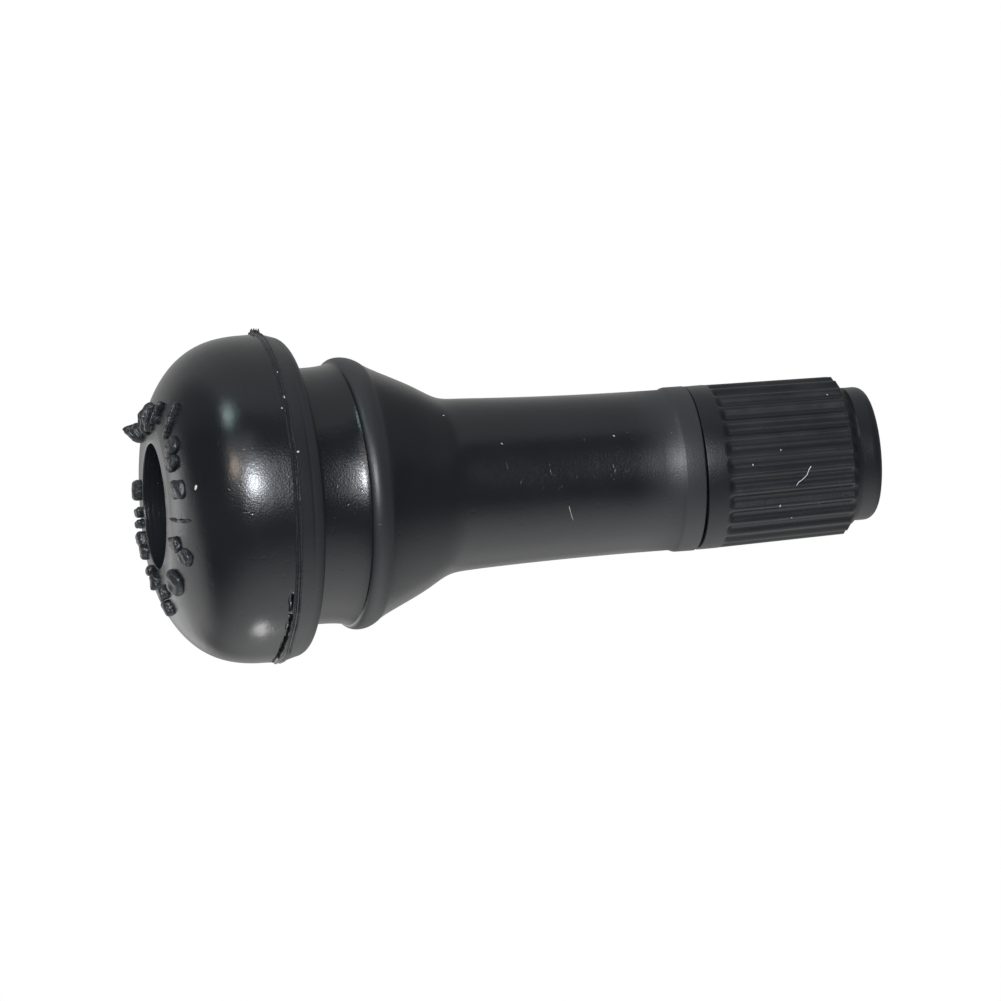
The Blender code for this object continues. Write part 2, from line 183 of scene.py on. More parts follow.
# %% Signals and finishes
class Signal:
    """One shader socket; Python's operators on it add Math nodes."""

    def __init__(self, finish, socket):
        self.finish = finish
        self.socket = socket

    def maths(self, operation, *values):
        return self.finish.node("Math", {"operation": operation}, dict(enumerate(values)))

    def __add__(self, other):
        return self.maths("ADD", self, other)

    def __sub__(self, other):
        return self.maths("SUBTRACT", self, other)

    def __rsub__(self, other):
        return self.maths("SUBTRACT", other, self)

    def __mul__(self, other):
        return self.maths("MULTIPLY", self, other)

    def __truediv__(self, other):
        return self.maths("DIVIDE", self, other)

    def __pow__(self, other):
        return self.maths("POWER", self, other)

    __radd__, __rmul__ = __add__, __mul__

    def between(self, low, high, soft):
        """1 between two values and 0 outside them, with soft edges."""
        return self.ramp(low - soft, low + soft) * (1 - self.ramp(high - soft, high + soft))

    def ramp(self, low, high):
        """0 at low, 1 at high, smooth in between and flat outside."""
        settings = {"interpolation_type": "SMOOTHSTEP"}
        return self.finish.node("MapRange", settings, {"Value": self, "From Min": low, "From Max": high})


class Finish:
    """A material in the making, with the piece's own coordinates at hand."""

    def __init__(self, name, slot, colour, roughness, metallic=0.0):
        self.material = bpy.data.materials.new(name)
        self.material.use_nodes = True
        self.material["slot"] = slot
        self.tree = self.material.node_tree
        self.shader = self.tree.nodes["Principled BSDF"]
        self.set(**{"Base Color": (*colour, 1), "Roughness": roughness, "Metallic": metallic})
        self.place = self.node("TexCoord", output="Object")
        split = self.tree.nodes.new("ShaderNodeSeparateXYZ")
        self.tree.links.new(self.place.socket, split.inputs[0])
        self.x, self.y, self.height = (Signal(self, socket) for socket in split.outputs)
        self.radius = (self.x * self.x + self.y * self.y) ** 0.5
        self.turn = self.y.maths("ARCTAN2", self.x, self.y * -1)

    def feed(self, socket, value):
        if isinstance(value, Signal):
            self.tree.links.new(value.socket, socket)
        else:
            socket.default_value = value

    def node(self, kind, settings=None, inputs=None, output=0):
        """Adds a node, sets it, feeds its inputs and gives back one of its outputs."""
        node = self.tree.nodes.new("ShaderNode" + kind)
        for name, value in (settings or {}).items():
            setattr(node, name, value)
        for name, value in (inputs or {}).items():
            self.feed(node.inputs[name], value)
        return Signal(self, node.outputs[output])

    def set(self, **inputs):
        for name, value in inputs.items():
            self.feed(self.shader.inputs[name], value)

    def point(self, x, y, z):
        return self.node("CombineXYZ", inputs={0: x, 1: y, 2: z})

    def noise(self, per_mm, detail=3, where=None):
        """Cloudy noise from 0 to 1 with about per_mm patches to each millimetre."""
        inputs = {"Vector": where or self.place, "Scale": per_mm / MM, "Detail": detail}
        return self.node("TexNoise", inputs=inputs)

    def mix(self, mask, first, second):
        """One colour where the mask is 0 and the other where it is 1."""
        node = self.tree.nodes.new("ShaderNodeMix")
        node.data_type = "RGBA"
        for socket, value in zip((node.inputs[0], node.inputs[6], node.inputs[7]), (mask, first, second)):
            self.feed(socket, value if isinstance(value, Signal) else (*value, 1))
        return Signal(self, node.outputs[2])

    def bump(self, height, depth_mm, under=None):
        """A surface that rises by depth_mm where height is 1; under is the bump that it lies on."""
        inputs = {"Height": height, "Distance": depth_mm * MM, "Strength": 1.0}
        if under:
            inputs["Normal"] = under
        return self.node("Bump", inputs=inputs)


print("helpers ready")

# %% [markdown]
# ## Black rubber
#
# Moulded rubber is nearly black, with a waxy shine where the mould was polished and a duller skin where it
# was not: on the band behind the head, on the bead and on the lip. A very fine grain breaks the highlights
# up, soft clouds change the shine from place to place, and a few specks of pale dust lie on it. Inside the
# base hole the rubber is painted paler, as painted light for the light that reaches in there. All of it is
# driven by the height along the stem, the distance from the axis and by noise on the piece's own coordinates.

# %% Rubber finishes
RUBBER_BLACK, RUBBER_DULL, DUST_GREY = (0.0055, 0.0064, 0.0080), (0.019, 0.021, 0.024), (0.16, 0.16, 0.15)


def rubber_finish(name, slot, shine, crumbly=0.0):
    """Moulded black rubber; shine is the roughness of its polished parts, crumbly how torn its skin is."""
    rubber = Finish(name, slot, RUBBER_BLACK, shine)
    height = rubber.height / MM
    askew = (rubber.x * 0.17 - rubber.y * 0.98) / rubber.radius  # 1 where the mould's rings lie highest
    dull = (
        (height - askew * 0.08).between(6.72, 7.42, 0.12) * 0.5
        + (height - askew * 0.22).between(7.36, 8.3, 0.08) * 0.65
        + (height - askew * 0.45).ramp(10.75, 10.95) * (1 - (height - askew * 0.08).ramp(12.35, 12.6)) * 0.9
        + height.ramp(27.0, 30.4)
    )
    # Inside the base hole: this mask paints the colour paler there as painted light, and also makes the wall
    # smoother.
    bore_painted_paler = (rubber.radius / MM).between(0, 3.8, 0.05) * height.between(-1, 8, 0.1)
    clouds = rubber.noise(0.22, 4)
    grain = rubber.noise(9, 5)
    pits = rubber.noise(2.2, 2).ramp(0.66, 0.74)
    dust = rubber.noise(5, 0).ramp(0.88, 0.93) * rubber.noise(0.35, 1).ramp(0.5, 0.65)
    # The base hole's term here is painted light: the inside of the hole painted paler.
    paler_tone_and_painted_light = dull * 0.7 + clouds.ramp(0.3, 0.8) * 0.15 + bore_painted_paler * 0.3 + crumbly * 0.6
    body_colour = rubber.mix(paler_tone_and_painted_light, RUBBER_BLACK, RUBBER_DULL)
    shape = rubber.bump(grain, 0.010)
    shape = rubber.bump(clouds, 0.05, shape)
    shape = rubber.bump(pits, -0.006, shape)
    shape = rubber.bump(rubber.noise(6, 3), 0.06 * crumbly, shape)
    rubber.set(
        **{
            "Base Color": rubber.mix(dust, body_colour, DUST_GREY),
            "Roughness": clouds * 0.12 + dull * 0.24 + dust * 0.3 - bore_painted_paler * 0.10 + (shine - 0.06),
            "Normal": shape,
            "IOR": 1.5,
        }
    )
    return rubber.material


body_rubber = rubber_finish("body_rubber", "body_rubber", 0.20)
mark_rubber = rubber_finish("mark_rubber", "body_rubber", 0.33, crumbly=1.0)
seal_rubber = rubber_finish("seal_rubber", "seal_rubber", 0.5)
print("rubber finishes ready")

# %% [markdown]
# ## Black plastic
#
# The cap's plastic is duller than the rubber: fine spark texture from the mould, no polish, and a greyish
# bloom on the ridges where fingers rub it.

# %% Cap plastic
PLASTIC_BLACK, PLASTIC_WORN = (0.0065, 0.0075, 0.0095), (0.015, 0.016, 0.018)


def plastic_finish():
    plastic = Finish("cap_plastic", "cap_plastic", PLASTIC_BLACK, 0.5)
    height = plastic.height / MM
    clouds = plastic.noise(0.5, 4)
    grain = plastic.noise(12, 4)
    ridges = (plastic.radius / MM).ramp(4.50, 4.62) * height.ramp(33.0, 33.3) * (1 - height.ramp(40.3, 40.5))
    worn = ridges * clouds.ramp(0.35, 0.75)
    shape = plastic.bump(grain, 0.012)
    shape = plastic.bump(clouds, 0.03, shape)
    plastic.set(
        **{
            "Base Color": plastic.mix(worn * 0.8 + clouds * 0.15, PLASTIC_BLACK, PLASTIC_WORN),
            "Roughness": clouds * 0.12 + 0.30,
            "Normal": shape,
            "IOR": 1.42,
        }
    )
    return plastic.material


cap_plastic = plastic_finish()
print("plastic ready")

# %% [markdown]
# ## Brass and spring steel
#
# The stem and the core are turned from brass bar. A lathe tool leaves very fine rings round the axis, which
# stretch the highlights along them, and brass that has been stored for a while goes browner in cloudy
# patches. The rings follow the height on a side face and the radius on an end face, so both are added. The
# spring is drawn wire: smooth, grey and a little darker in places.

# %% Metal finishes
BRASS_BRIGHT, BRASS_BROWN = (0.72, 0.50, 0.22), (0.40, 0.25, 0.10)
STEEL_GREY, STEEL_DARK = (0.56, 0.57, 0.59), (0.30, 0.30, 0.31)


def brass_finish():
    brass = Finish("turned_brass", "brass", BRASS_BRIGHT, 0.26, 1.0)
    clouds = brass.noise(0.45, 4)
    tool = brass.point((brass.radius + brass.height) * 40, 0, 0)
    rings = brass.noise(0.35, 2, tool)
    tarnish = clouds.ramp(0.45, 0.75)
    shape = brass.bump(rings, 0.004)
    brass.set(
        **{
            "Base Color": brass.mix(tarnish * 0.7, BRASS_BRIGHT, BRASS_BROWN),
            "Roughness": tarnish * 0.18 + rings * 0.08 + 0.18,
            "Normal": shape,
        }
    )
    return brass.material


def steel_finish():
    steel = Finish("spring_wire", "spring_steel", STEEL_GREY, 0.28, 1.0)
    clouds = steel.noise(1.2, 3)
    steel.set(
        **{
            "Base Color": steel.mix(clouds.ramp(0.4, 0.8), STEEL_GREY, STEEL_DARK),
            "Roughness": clouds * 0.15 + 0.20,
            "Normal": steel.bump(steel.noise(8, 2), 0.003),
        }
    )
    return steel.material


turned_brass = brass_finish()
spring_wire = steel_finish()
print("metal finishes ready")

# %% [markdown]
# ## The rubber body
#
# The rubber is one moulding: a domed head with a flat face round the base hole, a groove that the rim's
# hole closes on, a bead that snaps over the rim, a flare, a long shaft and a lip. The mould parts across the
# head's widest place, and a thin flash of rubber stands there. The outline follows these forms from the
# face up, then comes back down inside, along the brass.

# %% Sizes of the rubber body
HEAD_RADIUS, SEAM_HEIGHT = 9.51, 6.6
FACE_RADIUS = 4.8
DOME_SHOULDER, DOME_BROW = 3.0, 1.36
SEAT_HEIGHT, SEAT_CORNER, BACK_TAPER = 8.1, 0.75, 0.21
GROOVE_RADIUS, GROOVE_FILLET, GROOVE_END = 7.44, 0.3, 10.70
BEAD_LOW, BEAD_TOP, BEAD_CREST = (7.62, 10.80), (7.48, 12.50), 8.03
FLARE_WAIST, NECK_HEIGHT, NECK_RADIUS, SHAFT_RADIUS = (5.72, 15.9), 17.7, 5.03, 4.69
LIP_RADIUS, LIP_WIDTH, LIP_RAMP, SLEEVE_TOP = 4.81, 1.4, 0.2, 31.7
BASE_BORE_RADIUS, BORE_RINGS, BORE_RING_PITCH, BORE_RING_DEPTH = 3.62, 9, 0.29, 0.008
FOOT_RADIUS, FOOT_HEIGHT, SHANK_RADIUS = 4.3, 8.0, 3.55
BOND_GAP = 0.05
BODY_FACETS = 288

lip_height = SLEEVE_TOP - LIP_WIDTH


# %% Outline of the head
def dome_corner(share):
    """A point of the dome, from its flat face at 0 to its seam at 1, as (radius, height)."""
    turn = math.pi / 2 * share
    reach = math.sin(turn) ** (2 / DOME_BROW)
    rise = 1 - math.cos(turn) ** (2 / DOME_SHOULDER)
    return (FACE_RADIUS + (HEAD_RADIUS - FACE_RADIUS) * reach, (SEAM_HEIGHT - 0.2) * rise)


dome = [dome_corner(step / 44) for step in range(43)]
beside_seam = [(dome[-1][0] + (HEAD_RADIUS - dome[-1][0]) * step_up(z, dome[-1][1], 6.4), z) for z in (
    5.86, 5.92, 5.98, 6.04, 6.10, 6.15, 6.20, 6.25, 6.30, 6.35, 6.40)]
seam = [(HEAD_RADIUS, SEAM_HEIGHT), (HEAD_RADIUS - 0.01, SEAM_HEIGHT + 0.2)]
seat_corner = (HEAD_RADIUS - BACK_TAPER - SEAT_CORNER, SEAT_HEIGHT - SEAT_CORNER)
head = dome + beside_seam + seam + arc(seat_corner, SEAT_CORNER, 12, 90, 10)

# %% Outline of the groove, bead, flare and shaft
groove_corner = (GROOVE_RADIUS + GROOVE_FILLET, SEAT_HEIGHT + GROOVE_FILLET)
groove = sweep((GROOVE_RADIUS, 9.2), (GROOVE_RADIUS, 9.9), (7.49, 10.42), (7.58, GROOVE_END), 10)
bead = sweep(BEAD_LOW, (BEAD_CREST, 10.90), (BEAD_CREST, 11.85), BEAD_TOP, 16)
flare = sweep(BEAD_TOP, (7.10, 13.0), (6.35, 14.9), FLARE_WAIST, 14)
waist = sweep(FLARE_WAIST, (5.35, 16.55), (5.10, 16.85), (NECK_RADIUS, NECK_HEIGHT), 10)
groove_and_bead = [*arc(groove_corner, GROOVE_FILLET, 270, 180, 6), *groove, *bead]
shaft_length = lip_height - NECK_HEIGHT
shaft = sweep(
    (NECK_RADIUS, NECK_HEIGHT),
    (SHAFT_RADIUS + 0.45 * (NECK_RADIUS - SHAFT_RADIUS), NECK_HEIGHT + 0.25 * shaft_length),
    (SHAFT_RADIUS, NECK_HEIGHT + 0.6 * shaft_length),
    (SHAFT_RADIUS, lip_height - 0.1),
    16,
)
lip = [(LIP_RADIUS, lip_height + LIP_RAMP, 0.08), (LIP_RADIUS, SLEEVE_TOP, 0.10)]

# %% Outline inside the rubber
brass_side = [
    (SHANK_RADIUS + BOND_GAP, SLEEVE_TOP),
    (SHANK_RADIUS + BOND_GAP, FOOT_HEIGHT + 2.4),
    (FOOT_RADIUS + BOND_GAP, FOOT_HEIGHT + 1.6),
    (FOOT_RADIUS + BOND_GAP, FOOT_HEIGHT - BOND_GAP),
    (BASE_BORE_RADIUS, FOOT_HEIGHT - BOND_GAP),
]
bore_rings = []
for step in range(6 * BORE_RINGS, -1, -1):
    swell = 0.5 - 0.5 * math.cos(math.tau * step / 6)
    bore_rings.append((BASE_BORE_RADIUS - BORE_RING_DEPTH * swell, 0.2 + BORE_RING_PITCH * step / 6))
bore_mouth = [(BASE_BORE_RADIUS, 0.0, 0.06)]

# %% Spin the rubber body
body_outside = head + groove_and_bead + flare[1:] + waist[1:] + shaft[1:] + lip
body_outline = body_outside + brass_side + bore_rings + bore_mouth
rubber_mesh = spin_round(outline_mesh(body_outline), BODY_FACETS)
print("rubber body outline:", len(body_outline), "corners")

# %% [markdown]
# ## A moulding that isn't quite true
#
# In the photograph the groove, the bead and the flare sit a little low against the head and
# the shaft, as soft rubber does when it is pulled from its mould. Their points are moved sideways, smoothly
# from none at the head's back to none at the shaft. The edge where the bead starts also runs askew, nearly
# half a millimetre higher on the camera's side than at the sides.

# %% Shift the bead and the flare
SAG, ASKEW, ASKEW_TURN, INNER_WALL = 0.06, 0.45, 10, 4.5
for point in rubber_mesh.verts:
    height = point.co.z / MM
    if point.co.xy.length < INNER_WALL * MM:
        continue
    share = point.co.to_2d().normalized() @ facing(ASKEW_TURN).to_2d()
    point.co.z += ASKEW * share * step_up(height, 5.5, 10.9) * (1 - step_up(height, 10.9, 12.9)) * MM
    point.co.x += SAG * step_up(height, 7.4, 8.3) * (1 - step_up(height, 15.5, 19.0)) * MM

# %% [markdown]
# ## The cut beside the seam
#
# On the lower side the trimming knife has gone into the rubber just before the seam and left a black cut
# that starts, stops and starts again. The body has close rows of points there. Those that lie on the cut's
# wandering line are pressed in.

# %% Press the cut in
CUT_DEPTH, CUT_HALF_WIDTH = 0.32, 0.075
CUT_PARTS = [(37, 42), (46, 88)]  # from and to, in degrees from the camera's side


def angle_of(point):
    """Degrees round the axis from the camera's side towards the picture's lower edge."""
    return math.degrees(math.atan2(point.co.x, -point.co.y))


for point in rubber_mesh.verts:
    turn, height = angle_of(point), point.co.z / MM
    if point.co.xy.length < 9 * MM or not 5.8 < height < 6.45:
        continue
    line = 6.24 - 0.10 * step_up(turn, 45, 70) + 0.07 * noise.noise(Vector((turn * 0.35, 0, 3)))
    width = CUT_HALF_WIDTH * (1 + 0.6 * noise.noise(Vector((turn * 0.6, 5, 0))))
    inside = max(
        step_up(turn, start - 1.5, start + 1) * step_up(-turn, -end - 1.5, -end + 1)
        for start, end in CUT_PARTS
    )
    inside *= 1 - step_up(abs(height - line), width, width + 0.06)
    point.co.xy *= 1 - CUT_DEPTH * inside * MM / point.co.xy.length

valve_rubber = finished("valve_rubber", rubber_mesh, "stem", body_rubber, ["rubber_body"])

# %% [markdown]
# ## The flash on the seam
#
# Where the two mould halves met, a thin edge of rubber squeezed out. It is two low ridges side by side,
# ragged because it was torn off, with a few whiskers left at the top. A narrow ring is spun with many facets
# and its ridges are then raised, lowered and shifted by noise that runs round the head.

# %% Spin the flash and tear it
flash_outline = [
    (9.40, 6.38), (9.50, 6.40), (9.54, 6.44), (9.56, 6.47), (9.54, 6.50), (9.51, 6.55), (9.49, 6.60),
    (9.49, 6.64), (9.51, 6.68), (9.54, 6.72), (9.54, 6.75), (9.51, 6.80), (9.40, 6.84),
]
flash_mesh = spin_round(outline_mesh(flash_outline), 1080)
for point in flash_mesh.verts:
    turn, height = angle_of(point), point.co.z / MM
    around = point.co.xy.normalized().to_3d() * HEAD_RADIUS
    torn = noise.noise(around * 0.8) + 0.7 * noise.noise(around * 3.1) + 0.4 * noise.noise(around * 9)
    whisker = max(0, noise.noise(around * 2.7) * noise.noise(around * 7 + Vector((0, 0, 9)))) * 2.5
    whisker *= step_up(9 - abs(turn + 92), 0, 4)
    proud = step_up(point.co.xy.length / MM, 9.49, 9.53) * (0.04 + 0.10 * max(0, torn) + 0.8 * whisker)
    point.co.xy *= 1 + proud * MM / point.co.xy.length
    point.co.z += 0.06 * noise.noise(around * 0.5 + Vector((0, 0, 4))) * MM
finished("seam_flash", flash_mesh, "stem", mark_rubber, sharp=50)

# %% [markdown]
# ## Raised marks round the base hole
#
# The mould leaves raised marks on the face and a small peg where the rubber was injected. Here they are
# plain pips and bars. Each is a ball, made squarer, stretched, roughened with noise, and set on the dome
# with its lower half in the rubber, so that no gap shows.

# %% Where the marks are
# angle from the camera's side, middle radius, length outwards, width, height, twist, all in mm and degrees
MARKS = [
    (-105, 5.05, 1.70, 0.38, 0.42, 14),
    (-93, 5.05, 1.80, 0.36, 0.42, 4),
    (-80, 5.15, 1.70, 0.36, 0.42, -6),
    (-68, 5.75, 1.30, 0.30, 0.36, 4),
    (-48, 6.40, 2.20, 0.36, 0.30, 29),
    (-33, 6.05, 1.25, 1.00, 0.32, 20),
    (-24, 5.80, 1.05, 0.90, 0.32, 0),
    (-8, 6.00, 1.20, 1.15, 0.30, 0),
    (9, 6.00, 2.00, 0.18, 0.12, 3),
    (24, 5.55, 0.90, 0.90, 0.34, 12),
    (28, 6.50, 1.05, 0.85, 0.30, -14),
    (50, 5.85, 1.35, 1.45, 0.40, 10),
    (82, 5.95, 0.95, 0.80, 0.42, -6),
    (77, 5.10, 0.90, 0.85, 0.42, 10),
    (101, 4.45, 0.95, 0.75, 0.44, 0),
    (115, 4.15, 0.70, 0.65, 0.42, 20),
    (146, 4.65, 0.90, 0.72, 0.44, 6),
    (156, 4.65, 0.95, 0.80, 0.44, 0),
    (168, 4.55, 0.90, 0.52, 0.44, -4),
    (176, 4.55, 0.90, 0.52, 0.44, 4),
    (192, 4.60, 0.95, 1.15, 0.44, 0),
]
PEG_ANGLE, PEG_RADIUS, PEG_FOOT, PEG_TIP, PEG_LENGTH = -124, 5.20, 0.64, 0.42, 1.02


# %% Shapes that join one mesh
noise.seed_set(5)  # noise_vector takes its start from the clock unless a seed is set


def rough(mesh, amount_mm, per_mm, seed):
    """Moves every point by smooth noise, as cast rubber is never quite even."""
    for point in mesh.verts:
        where = point.co / MM * per_mm + Vector((seed * 7.3, seed * 3.1, 0))
        point.co += noise.noise_vector(where) * amount_mm * MM


def join(whole, part, place):
    """Adds a finished part to a mesh at its place, and lets go of the part."""
    bmesh.ops.transform(part, verts=part.verts, matrix=place)
    carrier = bpy.data.meshes.new("carrier")
    part.to_mesh(carrier)
    part.free()
    whole.from_mesh(carrier)
    bpy.data.meshes.remove(carrier)


def dome_place(angle, radius, twist=0):
    """Turns and moves a shape so that its +Z stands out of the dome at that angle and radius."""
    share = next(step / 400 for step in range(401) if dome_corner(step / 400)[0] >= radius)
    before, after = Vector(dome_corner(share)), Vector(dome_corner(share + 0.02))
    slope = (after - before).normalized() if share else Vector((1, 0))
    before.x = radius
    out = facing(angle)
    outward = slope.x * out + Vector((0, 0, slope.y))
    normal = slope.y * out - Vector((0, 0, slope.x))
    turn = Matrix((outward, normal.cross(outward), normal)).transposed().to_4x4()
    place = Matrix.Translation((out * before.x + Vector((0, 0, before.y))) * MM)
    return place @ turn @ Matrix.Rotation(math.radians(twist), 4, "Z")


# %% Pips, bars and the peg
def pip(length, width, height, seed):
    """A rough lump between a ball and a block, half of it sunk in the rubber."""
    mesh = bmesh.new()
    bmesh.ops.create_icosphere(mesh, subdivisions=4, radius=0.5)
    for point in mesh.verts:
        point.co *= 0.5 * MM / sum(abs(part) ** 3.2 for part in point.co) ** (1 / 3.2)
    bmesh.ops.scale(mesh, verts=mesh.verts, vec=(length, width, 2 * height))
    rough(mesh, 0.13, 1.6, seed)
    rough(mesh, 0.045, 5.0, seed + 60)
    return mesh


def injection_peg():
    """A blunt, rough cone: a ball whose rings are drawn together towards the top."""
    mesh = bmesh.new()
    bmesh.ops.create_icosphere(mesh, subdivisions=5, radius=1.0)
    for point in mesh.verts:
        width = PEG_FOOT + (PEG_TIP - PEG_FOOT) * step_up(point.co.z, -0.3, 1.0)
        point.co = Vector((point.co.x * width, point.co.y * width, point.co.z * PEG_LENGTH)) * MM
    rough(mesh, 0.16, 1.4, 40)
    rough(mesh, 0.07, 5.0, 41)
    return mesh


marks_mesh = bmesh.new()
for number, (angle, radius, length, width, height, twist) in enumerate(MARKS):
    join(marks_mesh, pip(length, width, height, number), dome_place(angle, radius, twist))
join(marks_mesh, injection_peg(), dome_place(PEG_ANGLE, PEG_RADIUS))
bmesh.ops.recalc_face_normals(marks_mesh, faces=marks_mesh.faces)
finished("head_marks", marks_mesh, "stem", mark_rubber, sharp=180)

# %% [markdown]
# ## The brass stem
#
# Under the rubber is a turned brass tube: a wide foot, a ring that grips the rubber, a fine outer thread for
# the cap and the pump, and inside it a cone that the core's gasket seals on and a thread for the core's
# plug. A real thread is a groove that winds up the bar. Here the bar is spun first, with many rows of points
# where the thread goes, and each point is then pressed in by how far it lies from the winding crest. The
# stem, the plug and the cap share one helper, so that their threads fit together and stay together.

# %% Press a thread into a round face
CAP_PITCH, CORE_PITCH = 25.4 / 32, 25.4 / 36


def rows(radius, start, end, per_mm):
    """Outline corners in a straight run from one height to another, to give a thread its points."""
    count = max(1, round(abs(end - start) * per_mm))
    return [(radius, start + (end - start) * step / count) for step in range(count + 1)]


def cut_thread(mesh, low, high, pitch, crest, root, phase=0.0):
    """Presses a right-hand thread between two heights; crest and root are its radii in mm."""
    for point in mesh.verts:
        radius, height = point.co.xy.length / MM, point.co.z / MM
        if not low <= height <= high or abs(radius - crest) > abs(root - crest) + 0.01:
            continue
        winding = height / pitch - math.atan2(point.co.y, point.co.x) / math.tau + phase
        from_crest = abs((winding + 0.5) % 1 - 0.5) * 2
        cut = min(1, max(0, (from_crest - 0.2) / 0.6)) * step_up(height, low, low + 0.35)
        wanted = crest + (root - crest) * cut
        if (root < crest and radius > wanted) or (root > crest and radius < wanted):
            point.co.xy *= wanted / radius


# %% Sizes of the stem
THREAD_CREST, THREAD_ROOT, STEM_TOP, MOUTH_BEVEL = 3.85, 3.47, 39.8, 0.42
RING_HEIGHT, RING_PROUD = 21.0, 0.3
CORE_CREST, CORE_ROOT, CORE_LEAD_IN = 2.40, 2.68, 0.48
CONE_BOTTOM, CONE_TOP, CONE_RADIUS, PASSAGE_RADIUS = 32.8, 34.65, 2.5, 2.0

stem_outside = [
    (PASSAGE_RADIUS, FOOT_HEIGHT, 0.3),
    (FOOT_RADIUS, FOOT_HEIGHT, 0.1),
    (FOOT_RADIUS, FOOT_HEIGHT + 1.6, 0.1),
    (SHANK_RADIUS, FOOT_HEIGHT + 2.4, 0.2),
    (SHANK_RADIUS, RING_HEIGHT - 0.8, 0.1),
    (SHANK_RADIUS + RING_PROUD, RING_HEIGHT - 0.4, 0.1),
    (SHANK_RADIUS + RING_PROUD, RING_HEIGHT + 0.4, 0.1),
    (SHANK_RADIUS, RING_HEIGHT + 0.8, 0.1),
    (SHANK_RADIUS, SLEEVE_TOP + 0.15, 0.05),
    (THREAD_CREST, SLEEVE_TOP + 0.35, 0.03),
    *rows(THREAD_CREST, SLEEVE_TOP + 0.4, STEM_TOP - MOUTH_BEVEL, 18),
]
stem_inside = [
    *(
        (THREAD_CREST - MOUTH_BEVEL * step / 7, STEM_TOP - MOUTH_BEVEL * (1 - step / 7))
        for step in range(1, 7)
    ),
    (THREAD_CREST - MOUTH_BEVEL, STEM_TOP, 0.04),
    (CORE_ROOT + 0.2, STEM_TOP, 0.04),
    *((CORE_ROOT + 0.2 - CORE_LEAD_IN * step / 6, STEM_TOP - CORE_LEAD_IN * step / 6) for step in range(1, 6)),
    *rows(CORE_CREST, STEM_TOP - CORE_LEAD_IN, CONE_TOP + 0.25, 20),
    (CONE_RADIUS, CONE_TOP + 0.1, 0.04),
    (CONE_RADIUS, CONE_TOP, 0.04),
    (PASSAGE_RADIUS, CONE_BOTTOM, 0.1),
]
stem_mesh = spin_round(outline_mesh(stem_outside + stem_inside), 128)
cut_thread(stem_mesh, SLEEVE_TOP + 0.35, STEM_TOP, CAP_PITCH, THREAD_CREST, THREAD_ROOT)
cut_thread(stem_mesh, CONE_TOP + 0.2, STEM_TOP, CORE_PITCH, CORE_CREST, CORE_ROOT, phase=0.5)
finished("threaded_stem", stem_mesh, "stem", turned_brass, ["brass_stem"])

# %% [markdown]
# ## The valve core
#
# The core is a small machine of its own. Its plug screws into the stem and is crimped over the collar of the
# barrel, so that it can turn while the barrel and its gasket stay still. A pin runs through the middle. Its
# spring pulls a cup with a rubber washer up against the barrel's nose, and a pump pushes the pin down to
# open it. All of these are turned pieces, so each is one outline, and the plug gets its thread and the two
# flats that the core key grips.

# %% Core plug
PLUG_RADIUS, PLUG_ROOT, PLUG_BOTTOM, PLUG_TOP = 2.6, 2.33, 34.75, 38.95
TANG_BOTTOM, TANG_RADIUS, TANG_WIDTH = 37.75, 2.3, 2.9
plug_outline = [
    (1.43, PLUG_BOTTOM, 0.05),
    (PLUG_ROOT, PLUG_BOTTOM, 0.05),
    *rows(PLUG_RADIUS, PLUG_BOTTOM + 0.3, TANG_BOTTOM - 0.12, 20),
    (PLUG_ROOT, TANG_BOTTOM, 0.05),
    (TANG_RADIUS, TANG_BOTTOM),
    *rows(TANG_RADIUS, TANG_BOTTOM + 0.05, PLUG_TOP - 0.1, 4),
    (TANG_RADIUS - 0.1, PLUG_TOP, 0.03),
    (1.15, PLUG_TOP, 0.12),
    (1.15, 35.61, 0.04),
    (1.88, 35.61, 0.04),
    (1.88, 35.0, 0.04),
    (1.43, 35.0, 0.04),
]
plug_mesh = spin_round(outline_mesh(plug_outline), 96)
cut_thread(plug_mesh, PLUG_BOTTOM + 0.1, TANG_BOTTOM, CORE_PITCH, PLUG_RADIUS, PLUG_ROOT)
for point in plug_mesh.verts:
    if point.co.z > (TANG_BOTTOM + 0.02) * MM:
        point.co.x = max(-TANG_WIDTH / 2 * MM, min(TANG_WIDTH / 2 * MM, point.co.x))
bmesh.ops.dissolve_degenerate(plug_mesh, edges=plug_mesh.edges, dist=1e-7)
finished("swivel_plug", plug_mesh, "core_plug", turned_brass, ["core_plug"])

# %% Core barrel and its gasket
BARREL_NOSE, SPRING_SHELF, BARREL_COLLAR, BARREL_TOP = 24.78, 26.78, 35.08, 35.53
barrel_outline = [
    (0.72, BARREL_NOSE + 0.25, 0.05),
    (1.0, BARREL_NOSE, 0.04),
    (1.2, BARREL_NOSE, 0.04),
    (1.45, BARREL_NOSE + 0.25, 0.06),
    (1.45, 31.83, 0.1),
    (1.84, 32.28, 0.06),
    (1.84, 32.73, 0.06),
    (1.35, 32.73, 0.04),
    (1.35, BARREL_COLLAR, 0.04),
    (1.8, BARREL_COLLAR, 0.05),
    (1.8, BARREL_TOP, 0.05),
    (1.1, BARREL_TOP, 0.08),
    (1.1, SPRING_SHELF, 0.08),
    (0.72, SPRING_SHELF, 0.06),
]
gasket_outline = [
    (1.41, 32.79, 0.05),
    (1.94, 32.79, 0.08),
    (1.94, 32.93, 0.05),
    (2.42, 34.69, 0.10),
    (1.41, 34.69, 0.05),
]
tube_mesh = spin_round(outline_mesh(barrel_outline), 72)
finished("core_tube", tube_mesh, "core_barrel", turned_brass, ["core_barrel"])
gasket_mesh = spin_round(outline_mesh(gasket_outline), 72)
finished("taper_gasket", gasket_mesh, "core_barrel", seal_rubber, ["barrel_gasket"])

